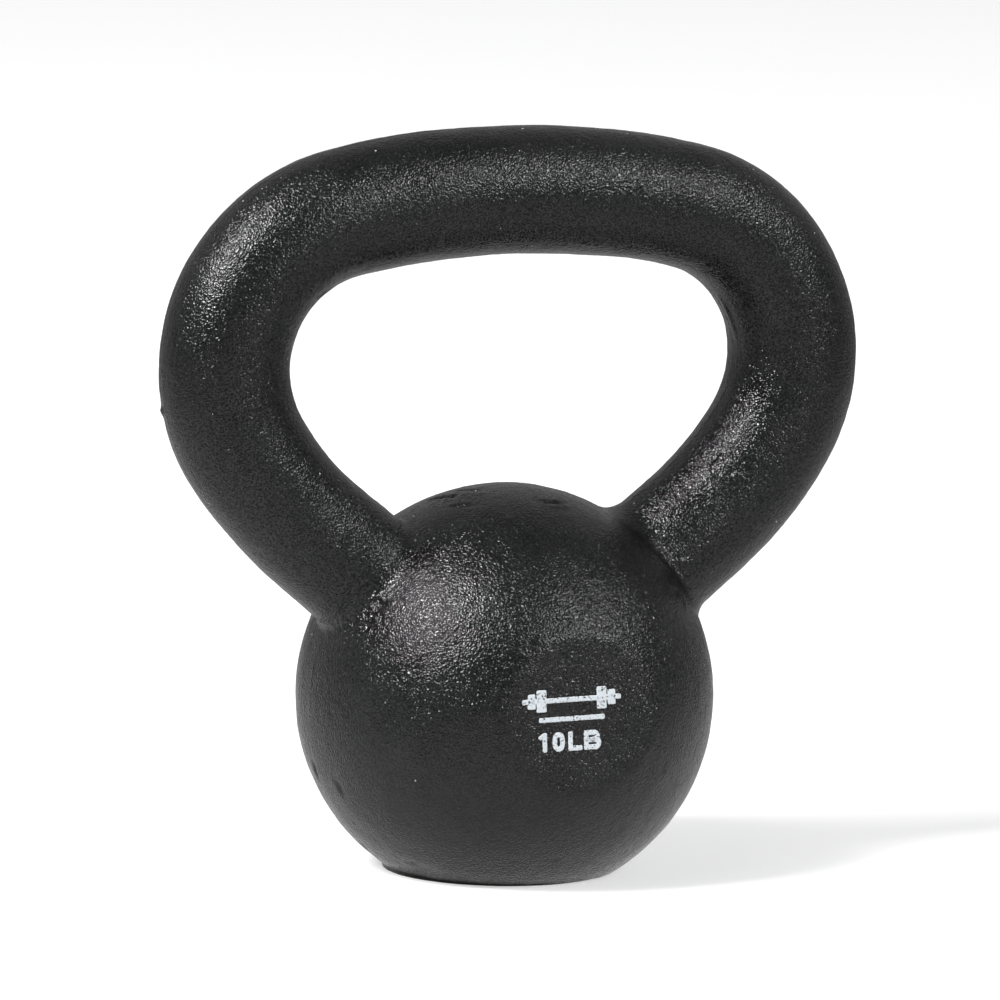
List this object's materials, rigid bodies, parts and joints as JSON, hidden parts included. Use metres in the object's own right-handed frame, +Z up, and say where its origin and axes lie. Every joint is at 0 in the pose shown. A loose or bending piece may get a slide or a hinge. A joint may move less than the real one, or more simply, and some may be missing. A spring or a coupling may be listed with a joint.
{
  "type": "kettlebell",
  "caption": "Solid cast-iron kettlebell: ball with a ground flat base and a printed front flat, and a closed loop handle of round section, in textured black powder coat.",
  "frame": {"origin": "middle of the ground flat base, on the floor", "axes": "+Z up through the ball to the grip, X along the grip, -Y the printed front"},
  "size_m": [0.167, 0.0915, 0.1695],
  "materials": {
    "coated_iron": "satin",
    "white_ink": "matte"
  },
  "bodies": {
    "root": {"bell": "coated_iron", "base_pad": "coated_iron", "grip": "coated_iron", "left_corner": "coated_iron", "right_corner": "coated_iron", "left_horn": "coated_iron", "right_horn": "coated_iron", "print_digit_one": "white_ink", "print_digit_zero": "white_ink", "print_letter_l": "white_ink", "print_letter_b": "white_ink", "print_barbell": "white_ink", "print_rule": "white_ink"}
  },
  "joints": []
}
